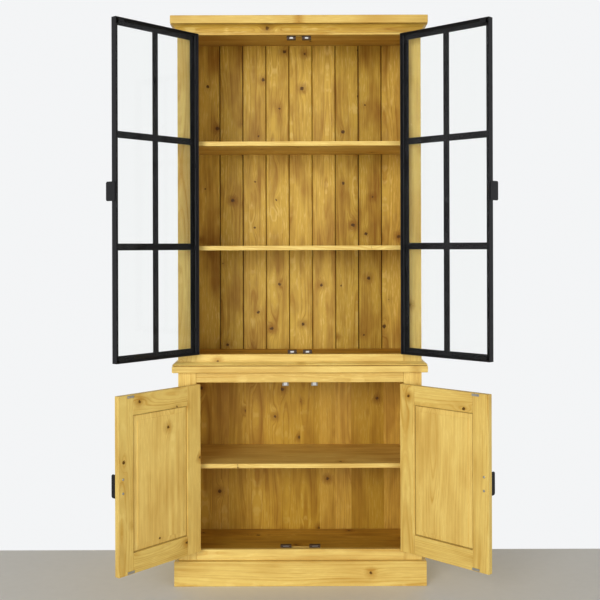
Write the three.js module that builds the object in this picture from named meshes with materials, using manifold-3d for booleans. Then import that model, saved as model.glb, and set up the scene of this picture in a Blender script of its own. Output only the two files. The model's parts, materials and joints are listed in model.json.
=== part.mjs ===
// Pantry cabinet in pine: a glazed upper unit on a panelled base unit, every piece a separate closed solid.
// Millimetres, +Z up, the front faces -Y. The origin is on the floor, at the middle of the width, in the
// front plane of the face frames. The four doors stand open, each at its own angle.

import * as THREE from "three";
import { mergeVertices } from "three/addons/utils/BufferGeometryUtils.js";
import Module from "manifold-3d";

const wasm = await Module();
wasm.setup();

// Driving dimensions: carcass
const GAP = 0.3; // clearance between pieces that touch
const ARRIS = 1.5; // chamfer on every sawn edge
const BOARD_EDGE_ARRIS = 3; // chamfer on the waist and cornice boards
const CARCASS_WIDTH = 950;
const CARCASS_DEPTH = 415; // from the front of the face frame to the wall
const SIDE_THICKNESS = 20;
const FACE_FRAME_THICKNESS = 20;
const STILE_WIDTH = 70;
const BACK_FACE = 400; // depth of the inside face of both backs
const BACK_THICKNESS = 12;
const SHELF_THICKNESS = 18;
const SHELF_SETBACK = 25;

// Heights above the floor
const PLINTH_TOP = 96.5;
const BASE_FLOOR = { low: 84, top: 102 };
const BASE_OPENING = { low: 139, high: 790 };
const BASE_SHELF_TOP = 467.5;
const BASE_BACK_LOW = 4;
const WAIST = { low: 830, top: 856 };
const UPPER_FLOOR = { low: 858, top: 879 };
const UPPER_OPENING = { low: 900, high: 2146 };
const UPPER_SHELF_TOPS = { lower: 1323.5, upper: 1733.5 };
const CORNICE = { low: 2186, top: 2218 };

// Overhangs and mouldings
const PLINTH = { proud: 15.5, thickness: 28 };
const WAIST_OVERHANG = 22;
const WAIST_MOULDING = { depth: 21, height: 15 };
const CORNICE_OVERHANG = 25;
const CORNICE_MOULDING = { depth: 24, height: 32, fillet: 3 };

// Tongued and grooved back boards of the upper unit
const BOARD_PITCH = 99.5;
const FIRST_JOINT = -440.9;
const JOINT_COUNT = 9;
const V_GROOVE = { halfWidth: 3, depth: 3 };

// Doors
const DOOR_GAP = 2.5; // beside, above and below a door
const UPPER_AXIS = { x: 407.5, y: -6 };
const LOWER_AXIS = { x: 405, y: -8 };
const STEEL = { leg: 25, thickness: 3, bar: 25, freeEdge: 4 };
const GLASS_THICKNESS = 4;
const LOWER_DOOR = { thickness: 21, stile: 68, rail: 74, freeEdge: 1.5 };
const PANEL = { front: 2, back: 19, tongueFront: 6.5, tongueBack: 14.5, bevel: 16 };
const OPEN_ANGLES = { upperLeft: 131.6, upperRight: 136.9, lowerLeft: 130.6, lowerRight: 136 }; // degrees

// Fittings
const KNUCKLE = { radius: 5.5, length: 24, pin: 3, bore: 3.25, split: 0.4, sides: 20 };
// The arm from a knuckle to the wood or steel, measured from the axis
const NECK = { near: 3.5, far: 9, start: -1, arris: 0.4 };
const UPPER_HINGES = { low: 1060, high: 1986 };
const LOWER_HINGES = { low: 250, high: 680 };
const PULL_PLATE = { middle: 1520, height: 70, proud: 30, lap: 20, thickness: 3, round: 7 };
const PULL_ANGLE = { middle: 464, height: 85, proud: 20, flat: 34, thickness: 3, round: 8 };
const UPPER_CATCH = { middle: 30, width: 36, front: 26, back: 46, reach: 13, foot: 14 };
const LOWER_CATCH = { middle: 57, width: 44, front: 24, back: 46, reach: 18, foot: 14 };
const BASE_CATCH_REACH = 8;
const CATCH_BATTEN_DEPTH = 5;
const CATCH_SHOULDER = 2; // from the opening's edge to the step in a catch

const HALF = CARCASS_WIDTH / 2;
const INSIDE = HALF - SIDE_THICKNESS;
const OPENING_HALF = HALF - STILE_WIDTH;

const pine = new THREE.MeshStandardMaterial({ color: 0xd8a64a, roughness: 0.55 });
const blackSteel = new THREE.MeshStandardMaterial({ color: 0x1b1b1d, roughness: 0.5, metalness: 0.4 });
const paneGlass = new THREE.MeshStandardMaterial({
  color: 0xdfe8e6, roughness: 0.05, transparent: true, opacity: 0.3,
});
const brownPlastic = new THREE.MeshStandardMaterial({ color: 0x5a4632, roughness: 0.6 });
const hingeSteel = new THREE.MeshStandardMaterial({ color: 0x2a2a2c, roughness: 0.45, metalness: 0.6 });

const cabinet = new THREE.Group();

function addMesh(parent, name, geometry, material) {
  const mesh = new THREE.Mesh(geometry, material);
  mesh.name = name;
  parent.add(mesh);
  return mesh;
}

// The same span of distances from the middle, on the left (-1) or right (+1) of the cabinet.
function onSide(side, near, far) {
  return side < 0 ? [-far, -near] : [near, far];
}

// A box with every edge chamfered: a rectangle with cut corners, extruded with a one-step bevel.
function board([x0, x1], [y0, y1], [z0, z1], arris = ARRIS) {
  const outline = new THREE.Shape([
    new THREE.Vector2(x0 + arris, y0), new THREE.Vector2(x1 - arris, y0),
    new THREE.Vector2(x1, y0 + arris), new THREE.Vector2(x1, y1 - arris),
    new THREE.Vector2(x1 - arris, y1), new THREE.Vector2(x0 + arris, y1),
    new THREE.Vector2(x0, y1 - arris), new THREE.Vector2(x0, y0 + arris),
  ]);
  const bevel = { bevelThickness: arris, bevelSize: arris, bevelOffset: -arris, bevelSegments: 1 };
  const geometry = new THREE.ExtrudeGeometry(outline, { depth: z1 - z0 - 2 * arris, ...bevel });
  return geometry.translate(0, 0, z0 + arris);
}

// A plain box between two corners, given as spans.
function block([x0, x1], [y0, y1], [z0, z1]) {
  const geometry = new THREE.BoxGeometry(x1 - x0, y1 - y0, z1 - z0);
  return geometry.translate((x0 + x1) / 2, (y0 + y1) / 2, (z0 + z1) / 2);
}

// A flat outline of [x, y] points, extruded from z0 to z1.
function prism(points, z0, z1) {
  const shape = new THREE.Shape(points.map(([x, y]) => new THREE.Vector2(x, y)));
  return new THREE.ExtrudeGeometry(shape, { depth: z1 - z0, bevelEnabled: false }).translate(0, 0, z0);
}

// A shape drawn in x and z, extruded along +Y from y0 to y1.
function upright(shape, y0, y1) {
  const settings = { depth: y1 - y0, bevelEnabled: false, curveSegments: 4 };
  const geometry = new THREE.ExtrudeGeometry(shape, settings);
  return geometry.rotateX(Math.PI / 2).translate(0, y1, 0);
}

// A rectangle whose corners are rounded, all of them or only the two at low u.
function roundedRectangle([u0, u1], [v0, v1], radius, bothSides) {
  const far = bothSides ? radius : 0;
  const shape = new THREE.Shape().moveTo(u0 + radius, v0).lineTo(u1 - far, v0);
  if (far) shape.absarc(u1 - far, v0 + far, far, -Math.PI / 2, 0);
  shape.lineTo(u1, v1 - far);
  if (far) shape.absarc(u1 - far, v1 - far, far, 0, Math.PI / 2);
  shape.lineTo(u0 + radius, v1);
  shape.absarc(u0 + radius, v1 - radius, radius, Math.PI / 2, Math.PI);
  shape.lineTo(u0, v0 + radius);
  return shape.absarc(u0 + radius, v0 + radius, radius, Math.PI, 1.5 * Math.PI);
}

// A closed profile of [distance, height] points spun about the vertical axis.
function turned(profile, x, y) {
  const points = profile.map(([r, z]) => new THREE.Vector2(r, z));
  return new THREE.LatheGeometry(points, KNUCKLE.sides).rotateX(Math.PI / 2).translate(x, y, 0);
}

function toManifold(geometry) {
  const bare = new THREE.BufferGeometry().setAttribute("position", geometry.getAttribute("position"));
  if (geometry.index) bare.setIndex(geometry.index);
  const merged = mergeVertices(bare, 1e-3);
  const mesh = new wasm.Mesh({
    numProp: 3,
    vertProperties: merged.attributes.position.array,
    triVerts: new Uint32Array(merged.index.array),
  });
  return new wasm.Manifold(mesh);
}

// Several overlapping closed geometries joined into one solid.
function joined(geometries) {
  const solid = geometries.map(toManifold).reduce((whole, piece) => whole.add(piece));
  const { vertProperties, triVerts } = solid.getMesh();
  const geometry = new THREE.BufferGeometry();
  geometry.setAttribute("position", new THREE.BufferAttribute(new Float32Array(vertProperties), 3));
  geometry.setIndex(new THREE.BufferAttribute(new Uint32Array(triVerts), 1));
  geometry.computeVertexNormals();
  return geometry;
}

// A moulding carried round the left side, the front and the right side of the carcass with mitred corners.
// Each profile point is [how far it stands out, its height], in order round the section.
function mitredMoulding(profile) {
  const stations = profile.map(([out, z]) => [
    [-HALF - out, CARCASS_DEPTH, z], [-HALF - out, -out, z],
    [HALF + out, -out, z], [HALF + out, CARCASS_DEPTH, z],
  ]);
  const corners = stations[0].length;
  const index = [];
  stations.forEach((_, i) => {
    const next = (i + 1) % stations.length;
    for (let j = 0; j + 1 < corners; j += 1) {
      const [a, b, c, d] = [i * corners + j, next * corners + j, next * corners + j + 1, i * corners + j + 1];
      index.push(a, c, b, a, d, c);
    }
  });
  const section = profile.map(([out, z]) => new THREE.Vector2(out, z));
  THREE.ShapeUtils.triangulateShape(section, []).forEach(([a, b, c]) => {
    index.push(a * corners, b * corners, c * corners);
    const last = corners - 1;
    index.push(a * corners + last, c * corners + last, b * corners + last);
  });
  const geometry = new THREE.BufferGeometry();
  geometry.setAttribute("position", new THREE.Float32BufferAttribute(stations.flat(2), 3));
  geometry.setIndex(index);
  return geometry;
}

// A hollow quarter curve between two points of a section, as [out, height] points.
function coveCurve([out0, z0], [out1, z1], steps) {
  return Array.from({ length: steps + 1 }, (_, i) => {
    const turn = (i / steps) * (Math.PI / 2);
    return [out0 + (out1 - out0) * (1 - Math.cos(turn)), z0 + (z1 - z0) * Math.sin(turn)];
  });
}

// A raised door panel: rectangles in x and z, stacked along y, each inset by its own amount.
function fieldedPanel([x0, x1], [z0, z1]) {
  const layers = [
    [PANEL.front, PANEL.bevel], [PANEL.tongueFront, 0], [PANEL.tongueBack, 0], [PANEL.back, PANEL.bevel],
  ];
  const positions = layers.flatMap(([y, inset]) => [
    x0 + inset, y, z0 + inset, x1 - inset, y, z0 + inset,
    x1 - inset, y, z1 - inset, x0 + inset, y, z1 - inset,
  ]);
  const index = [0, 1, 2, 0, 2, 3];
  for (let layer = 0; layer + 1 < layers.length; layer += 1) {
    for (let k = 0; k < 4; k += 1) {
      const [a, b] = [layer * 4 + k, layer * 4 + ((k + 1) % 4)];
      index.push(a, a + 4, b + 4, a, b + 4, b);
    }
  }
  const top = (layers.length - 1) * 4;
  index.push(top, top + 2, top + 1, top, top + 3, top + 2);
  const geometry = new THREE.BufferGeometry();
  geometry.setAttribute("position", new THREE.Float32BufferAttribute(positions, 3));
  geometry.setIndex(index);
  return geometry;
}

function addPlinth() {
  const out = HALF + PLINTH.proud;
  const inner = out - PLINTH.thickness;
  const front = -PLINTH.proud;
  const back = front + PLINTH.thickness;
  const mitre = GAP / 2;
  const frontOutline = [
    [-out + mitre, front], [out - mitre, front], [inner - mitre, back], [-inner + mitre, back],
  ];
  addMesh(cabinet, "plinth_front", prism(frontOutline, 0, PLINTH_TOP), pine);
  for (const [side, name] of [[-1, "plinth_side_left"], [1, "plinth_side_right"]]) {
    const outline = [
      [side * out, front + mitre], [side * out, CARCASS_DEPTH],
      [side * inner, CARCASS_DEPTH], [side * inner, back + mitre],
    ];
    addMesh(cabinet, name, prism(side > 0 ? outline : outline.reverse(), 0, PLINTH_TOP), pine);
  }
}

// The two sides, and the stiles and rails of the face frame, of one unit.
function addCarcass(unit, low, high, opening) {
  const depth = [FACE_FRAME_THICKNESS + GAP, CARCASS_DEPTH];
  for (const [side, word] of [[-1, "left"], [1, "right"]]) {
    addMesh(cabinet, `${unit}_side_${word}`, board(onSide(side, INSIDE, HALF), depth, [low, high]), pine);
    const stile = board(onSide(side, OPENING_HALF, HALF), [0, FACE_FRAME_THICKNESS], [low, high]);
    addMesh(cabinet, `${unit}_stile_${word}`, stile, pine);
  }
  const across = [-OPENING_HALF + GAP, OPENING_HALF - GAP];
  const frame = [0, FACE_FRAME_THICKNESS];
  addMesh(cabinet, `${unit}_rail_bottom`, board(across, frame, [low, opening.low]), pine);
  addMesh(cabinet, `${unit}_rail_top`, board(across, frame, [opening.high, high]), pine);
}

function addShelf(name, [low, top], front) {
  const across = [-INSIDE + GAP, INSIDE - GAP];
  addMesh(cabinet, name, board(across, [front, BACK_FACE - GAP], [low, top]), pine);
}

function addBaseUnit() {
  addCarcass("base", PLINTH_TOP + GAP, WAIST.low - GAP, BASE_OPENING);
  addShelf("base_bottom_panel", [BASE_FLOOR.low, BASE_FLOOR.top], FACE_FRAME_THICKNESS + GAP);
  addShelf("base_shelf", [BASE_SHELF_TOP - SHELF_THICKNESS, BASE_SHELF_TOP], SHELF_SETBACK);
  const across = [-INSIDE + GAP, INSIDE - GAP];
  const back = board(across, [BACK_FACE, BACK_FACE + BACK_THICKNESS], [BASE_BACK_LOW, WAIST.low - GAP]);
  addMesh(cabinet, "base_back_panel", back, pine);
}

function addWaist() {
  const out = HALF + WAIST_OVERHANG;
  const slab = board([-out, out], [-WAIST_OVERHANG, CARCASS_DEPTH], [WAIST.low, WAIST.top], BOARD_EDGE_ARRIS);
  addMesh(cabinet, "waist_board", slab, pine);
  const low = WAIST.top + GAP;
  const { depth, height } = WAIST_MOULDING;
  const profile = [[GAP, low], [depth, low], [depth - 1, low + 3], [3, low + height], [GAP, low + height]];
  addMesh(cabinet, "waist_moulding", mitredMoulding(profile), pine);
}

// The boards of the back, joined: V grooves in their inside face at an even pitch.
function addBackBoards() {
  const edge = INSIDE - GAP;
  const outside = BACK_FACE + BACK_THICKNESS;
  const face = [[-edge, BACK_FACE]];
  for (let k = 0; k < JOINT_COUNT; k += 1) {
    const x = FIRST_JOINT + k * BOARD_PITCH;
    face.push([x - V_GROOVE.halfWidth, BACK_FACE]);
    face.push([x, BACK_FACE + V_GROOVE.depth]);
    face.push([x + V_GROOVE.halfWidth, BACK_FACE]);
  }
  face.push([edge, BACK_FACE], [edge, outside], [-edge, outside]);
  addMesh(cabinet, "upper_back_boards", prism(face, UPPER_FLOOR.low, CORNICE.low - GAP), pine);
}

function addUpperUnit() {
  addCarcass("upper", WAIST.top + GAP, CORNICE.low - GAP, UPPER_OPENING);
  addShelf("upper_bottom_panel", [UPPER_FLOOR.low, UPPER_FLOOR.top], FACE_FRAME_THICKNESS + GAP);
  for (const [word, top] of Object.entries(UPPER_SHELF_TOPS)) {
    addShelf(`upper_shelf_${word}`, [top - SHELF_THICKNESS, top], SHELF_SETBACK);
  }
  addBackBoards();
}

function addCornice() {
  const out = HALF + CORNICE_OVERHANG;
  const depth = [-CORNICE_OVERHANG, CARCASS_DEPTH];
  const slab = board([-out, out], depth, [CORNICE.low, CORNICE.top], BOARD_EDGE_ARRIS);
  addMesh(cabinet, "cornice_board", slab, pine);
  const top = CORNICE.low - GAP;
  const { depth: reach, height, fillet } = CORNICE_MOULDING;
  const low = top - height;
  const cove = coveCurve([fillet, low + fillet], [reach, top - fillet], 8);
  const profile = [[GAP, low], [fillet, low], ...cove, [reach, top], [GAP, top]];
  addMesh(cabinet, "cornice_moulding", mitredMoulding(profile), pine);
}

// A catch that hangs from (down) or stands on a rail: a foot behind the rail and a body that the door meets.
function catchBlock(middle, { width, front, back, reach, foot }, edge, down) {
  const way = down ? -1 : 1;
  const tip = edge + way * reach;
  const root = edge - way * foot;
  const behindRail = FACE_FRAME_THICKNESS + GAP;
  const shoulder = edge - way * CATCH_SHOULDER;
  const outline = [
    [behindRail, root], [back, root], [back, tip], [front, tip], [front, shoulder], [behindRail, shoulder],
  ];
  const shape = new THREE.Shape(outline.map(([y, z]) => new THREE.Vector2(y, z)));
  const body = new THREE.ExtrudeGeometry(shape, { depth: width, bevelEnabled: false });
  return body.rotateX(Math.PI / 2).rotateZ(Math.PI / 2).translate(middle - width / 2, 0, 0);
}

// Two catches on one batten, so that they are a single piece behind the rail.
function addCatchPair(name, size, edge, down) {
  const way = down ? -1 : 1;
  const heights = [edge - way * size.foot, edge - way * CATCH_SHOULDER].sort((a, b) => a - b);
  const reach = size.middle + size.width / 2;
  const depth = [size.back - CATCH_BATTEN_DEPTH, size.back];
  const batten = board([-reach, reach], depth, heights, 1);
  const blocks = [-1, 1].map((side) => catchBlock(side * size.middle, size, edge, down));
  addMesh(cabinet, name, joined([batten, ...blocks]), brownPlastic);
}

// The half of a hinge that stays on the face frame: lower knuckle, pin, and neck to the stile.
function addFrameHinge(name, side, axis, z) {
  const { radius, length, pin, split } = KNUCKLE;
  const shaft = length - 4;
  const profile = [[0, z - length], [radius, z - length], [radius, z - split], [pin, z - split]];
  const barrel = turned([...profile, [pin, z + shaft], [0, z + shaft]], side * axis.x, axis.y);
  const neckX = onSide(side, axis.x + NECK.near, axis.x + NECK.far);
  const neck = board(neckX, [axis.y + NECK.start, -GAP], [z - length + 3, z - 3], NECK.arris);
  addMesh(cabinet, name, joined([barrel, neck]), hingeSteel);
}

// The upper knuckle that rides on the pin, with its blind bore and its neck towards the door.
function doorKnuckle(side, axis, z, neckEnd) {
  const { radius, length, bore, split } = KNUCKLE;
  const low = z + split;
  const roof = z + length - 3;
  const top = z + length;
  const profile = [[0, roof], [bore, roof], [bore, low], [radius, low], [radius, top], [0, top]];
  const barrel = turned(profile, side * axis.x, axis.y);
  const neckX = onSide(side, axis.x - NECK.far, axis.x - NECK.near);
  const neck = board(neckX, [axis.y + NECK.start, neckEnd], [z + 3, top - 3], NECK.arris);
  return [barrel, neck];
}

// A door hangs in a group that turns about its hinge axis; inside it, pieces are placed as if it were shut.
function doorGroup(side, axis, openAngle) {
  const turning = new THREE.Group();
  turning.position.set(side * axis.x, axis.y, 0);
  turning.rotation.z = side * THREE.MathUtils.degToRad(openAngle);
  const shut = new THREE.Group();
  shut.position.set(-side * axis.x, -axis.y, 0);
  turning.add(shut);
  cabinet.add(turning);
  return shut;
}

// The welded frame of a glazed door: an angle-section rim, a flat bar down the middle and two across.
function steelFrame(side, [x0, x1], [z0, z1]) {
  const { leg, thickness, bar } = STEEL;
  const face = [0, thickness];
  const pieces = Object.values(UPPER_HINGES).flatMap((z) => doorKnuckle(side, UPPER_AXIS, z, thickness / 2));
  for (const depth of [[0, leg], face]) {
    const width = depth === face ? leg : thickness;
    pieces.push(block([x0, x0 + width], depth, [z0, z1]), block([x1 - width, x1], depth, [z0, z1]));
    pieces.push(block([x0, x1], depth, [z0, z0 + width]), block([x0, x1], depth, [z1 - width, z1]));
  }
  const middle = (x0 + x1) / 2;
  pieces.push(block([middle - bar / 2, middle + bar / 2], face, [z0, z1]));
  for (const share of [1, 2]) {
    const z = z0 + leg - bar / 2 + (share * (z1 - z0 - 2 * leg + bar)) / 3;
    pieces.push(block([x0, x1], face, [z - bar / 2, z + bar / 2]));
  }
  return joined(pieces);
}

function addUpperDoor(word, side, openAngle) {
  const door = doorGroup(side, UPPER_AXIS, openAngle);
  const across = onSide(side, STEEL.freeEdge, OPENING_HALF - DOOR_GAP);
  const tall = [UPPER_OPENING.low + DOOR_GAP, UPPER_OPENING.high - DOOR_GAP];
  addMesh(door, `upper_door_${word}_frame`, steelFrame(side, across, tall), blackSteel);

  const inset = STEEL.thickness + GAP;
  const paneAcross = [across[0] + inset, across[1] - inset];
  const pane = block(paneAcross, [inset, inset + GLASS_THICKNESS], [tall[0] + inset, tall[1] - inset]);
  addMesh(door, `upper_door_${word}_glass`, pane, paneGlass);

  const { middle, height, proud, lap, thickness, round } = PULL_PLATE;
  const outline = roundedRectangle([-proud, lap], [middle - height / 2, middle + height / 2], round, true);
  const plate = upright(outline, 0, thickness).rotateZ(Math.PI / 2);
  const [near] = onSide(side, STEEL.freeEdge - GAP - thickness, STEEL.freeEdge - GAP);
  addMesh(door, `upper_door_${word}_handle`, plate.translate(near + thickness, 0, 0), blackSteel);
}

function addLowerDoor(word, side, openAngle) {
  const door = doorGroup(side, LOWER_AXIS, openAngle);
  const hingeEdge = OPENING_HALF - DOOR_GAP;
  const { thickness, stile, rail, freeEdge } = LOWER_DOOR;
  const tall = [BASE_OPENING.low + DOOR_GAP, BASE_OPENING.high - DOOR_GAP];
  const depth = [0, thickness];
  const stiles = { hinge: [hingeEdge - stile, hingeEdge], free: [freeEdge, freeEdge + stile] };
  for (const [place, [near, far]] of Object.entries(stiles)) {
    addMesh(door, `lower_door_${word}_stile_${place}`, board(onSide(side, near, far), depth, tall), pine);
  }
  const between = onSide(side, freeEdge + stile + GAP, hingeEdge - stile - GAP);
  const rails = { bottom: [tall[0], tall[0] + rail], top: [tall[1] - rail, tall[1]] };
  for (const [place, heights] of Object.entries(rails)) {
    addMesh(door, `lower_door_${word}_rail_${place}`, board(between, depth, heights), pine);
  }
  const panel = fieldedPanel(between, [tall[0] + rail + GAP, tall[1] - rail - GAP]);
  addMesh(door, `lower_door_${word}_panel`, panel, pine);
  for (const [place, z] of Object.entries(LOWER_HINGES)) {
    const knuckle = joined(doorKnuckle(side, LOWER_AXIS, z, -GAP));
    addMesh(door, `lower_door_${word}_hinge_${place}`, knuckle, hingeSteel);
  }
  addMesh(door, `lower_door_${word}_handle`, angleHandle(side), blackSteel);
}

// A steel angle: one leg flat on the outer face, screwed, and one leg standing out along the free edge.
function angleHandle(side) {
  const { middle, height, proud, flat, thickness, round } = PULL_ANGLE;
  const heights = [middle - height / 2, middle + height / 2];
  const edge = LOWER_DOOR.freeEdge + GAP;
  const flatLeg = block(onSide(side, edge, edge + flat), [-GAP - thickness, -GAP], heights);
  const standing = upright(roundedRectangle([-proud, -GAP], heights, round, false), 0, thickness);
  const [low] = onSide(side, edge, edge + thickness);
  return joined([flatLeg, standing.rotateZ(Math.PI / 2).translate(low + thickness, 0, 0)]);
}

addPlinth();
addBaseUnit();
addWaist();
addUpperUnit();
addCornice();
addCatchPair("upper_catch_top", UPPER_CATCH, UPPER_OPENING.high, true);
addCatchPair("upper_catch_bottom", UPPER_CATCH, UPPER_OPENING.low, false);
addCatchPair("base_catch_top", LOWER_CATCH, BASE_OPENING.high, true);
addCatchPair("base_catch_bottom", { ...LOWER_CATCH, reach: BASE_CATCH_REACH }, BASE_OPENING.low, false);
for (const [side, word] of [[-1, "left"], [1, "right"]]) {
  for (const [place, z] of Object.entries(UPPER_HINGES)) {
    addFrameHinge(`upper_hinge_${word}_${place}`, side, UPPER_AXIS, z);
  }
  for (const [place, z] of Object.entries(LOWER_HINGES)) {
    addFrameHinge(`lower_hinge_${word}_${place}`, side, LOWER_AXIS, z);
  }
}
addUpperDoor("left", -1, OPEN_ANGLES.upperLeft);
addUpperDoor("right", 1, OPEN_ANGLES.upperRight);
addLowerDoor("left", -1, OPEN_ANGLES.lowerLeft);
addLowerDoor("right", 1, OPEN_ANGLES.lowerRight);

export default cabinet;
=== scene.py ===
"""Looks of the pine pantry cabinet: boards, glazed and panelled doors and their fittings, dressed and lit.

Every sub-assembly is a class that builds its pieces as numpy surfaces in millimetres. A door is built shut
and on the right-hand side, then mirrored and turned about its hinge into place.
"""

import json
import logging
import math
import zlib
from collections.abc import Iterable, Sequence
from dataclasses import dataclass, field
from enum import Enum
from typing import ClassVar

import bpy
import numpy as np
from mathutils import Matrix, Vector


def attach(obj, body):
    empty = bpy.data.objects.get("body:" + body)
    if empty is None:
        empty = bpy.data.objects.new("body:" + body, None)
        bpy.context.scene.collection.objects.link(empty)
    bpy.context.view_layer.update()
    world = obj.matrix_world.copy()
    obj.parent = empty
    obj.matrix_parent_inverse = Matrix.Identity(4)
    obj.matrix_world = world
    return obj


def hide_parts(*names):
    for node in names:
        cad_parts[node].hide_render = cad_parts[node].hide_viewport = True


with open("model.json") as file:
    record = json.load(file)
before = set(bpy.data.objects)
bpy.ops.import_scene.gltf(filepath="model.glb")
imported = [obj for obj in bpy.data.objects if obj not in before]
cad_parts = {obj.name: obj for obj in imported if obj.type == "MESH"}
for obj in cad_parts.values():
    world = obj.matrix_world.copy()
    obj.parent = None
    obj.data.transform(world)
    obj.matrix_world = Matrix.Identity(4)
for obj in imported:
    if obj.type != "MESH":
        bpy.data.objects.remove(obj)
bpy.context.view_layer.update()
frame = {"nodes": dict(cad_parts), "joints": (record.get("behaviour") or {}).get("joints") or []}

logging.basicConfig(level=logging.INFO, format="%(name)s: %(message)s")
LOG = logging.getLogger("pantry")

MM = 0.001
HALF = 475.0  # half the width of the carcass, mm
DEPTH = 415.0  # its depth, mm
X, Y, Z = np.eye(3)


class Slot(Enum):
    """The record's material slots."""

    PINE = "pine"
    BLACK_STEEL = "black_steel"
    GLASS = "glass"
    HINGE_STEEL = "hinge_steel"
    CATCH_PLASTIC = "catch_plastic"


# ---------------------------------------------------------------------------------------------- finishes


def linear(colour: str) -> tuple[float, float, float, float]:
    """Scene-linear colour of an sRGB hex string."""
    shares = [int(colour[k : k + 2], 16) / 255 for k in (1, 3, 5)]
    return (*(s / 12.92 if s <= 0.04045 else ((s + 0.055) / 1.055) ** 2.4 for s in shares), 1.0)


class Sheet:
    """The node tree of a material or a world, filled by one call per node."""

    def __init__(self, owner: bpy.types.ID) -> None:
        owner.use_nodes = True
        self.tree = owner.node_tree
        self.tree.nodes.clear()

    def add(self, kind: str, inputs: dict | None = None, stops: Sequence[tuple] = (), **settings: object):
        """Adds one node.

        Args:
            kind: The node's type, without the leading "ShaderNode".
            inputs: Values, nodes or sockets for the inputs, by name or number.
            stops: Positions and hex colours, for a colour ramp.
            **settings: Properties of the node.

        Returns:
            The new node.
        """
        node = self.tree.nodes.new("ShaderNode" + kind)
        for key, value in settings.items():
            setattr(node, key, value)
        for key, value in (inputs or {}).items():
            socket = node.inputs[key]
            if isinstance(value, bpy.types.Node):
                value = value.outputs[0]
            if isinstance(value, bpy.types.NodeSocket):
                self.tree.links.new(value, socket)
            else:
                socket.default_value = value
        for place, (position, colour) in enumerate(stops):
            ramp = node.color_ramp.elements
            stop = ramp[place] if place < len(ramp) else ramp.new(position)
            stop.position = position
            stop.color = linear(colour)
        return node

    def math(self, operation: str, first: object, second: object = 0.0, third: object = 0.0):
        """A sum, product or other scalar of up to three values."""
        return self.add("Math", {0: first, 1: second, 2: third}, operation=operation)

    def vector(self, operation: str, first: object, second: object):
        """A sum, difference or product of two vectors."""
        return self.add("VectorMath", {0: first, 1: second}, operation=operation)

    def length(self, vector: object):
        """How long a vector is."""
        return self.add("VectorMath", {0: vector}, operation="LENGTH").outputs["Value"]

    def remap(self, value: object, low: float, high: float, start: float, end: float):
        """A straight way from start, at or below low, to end, at or above high."""
        return self.add("MapRange", {0: value, 1: low, 2: high, 3: start, 4: end})

    def noise(self, place: object, detail: float, scale: float = 1.0, kind: str = "3D",
              roughness: float = 0.5):
        """Smooth noise with finer and finer layers, as many as its detail."""
        inputs = {"Vector": place, "Scale": scale, "Detail": detail, "Roughness": roughness}
        return self.add("TexNoise", inputs, noise_dimensions=kind)

    def blend(self, share: object, under: object, over: object):
        """Two colours, each hex or a node, mixed by the share of the second."""
        under, over = (linear(c) if isinstance(c, str) else c for c in (under, over))
        return self.add("MixRGB", {0: share, 1: under, 2: over})


@dataclass(frozen=True)
class Finish:
    """A finish that is made once, the first time a piece asks for it."""

    name: str

    def material(self) -> bpy.types.Material:
        """Gives back the finish's material, and makes it the first time.

        Returns:
            The material.
        """
        made = bpy.data.materials.get(self.name)
        if made is None:
            made = bpy.data.materials.new(self.name)
            sheet = Sheet(made)
            sheet.add("OutputMaterial", {"Surface": self.dress(sheet)})
        return made

    def dress(self, s: Sheet) -> bpy.types.Node:
        """Adds the finish's nodes and gives back the shader."""
        raise NotImplementedError


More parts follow.
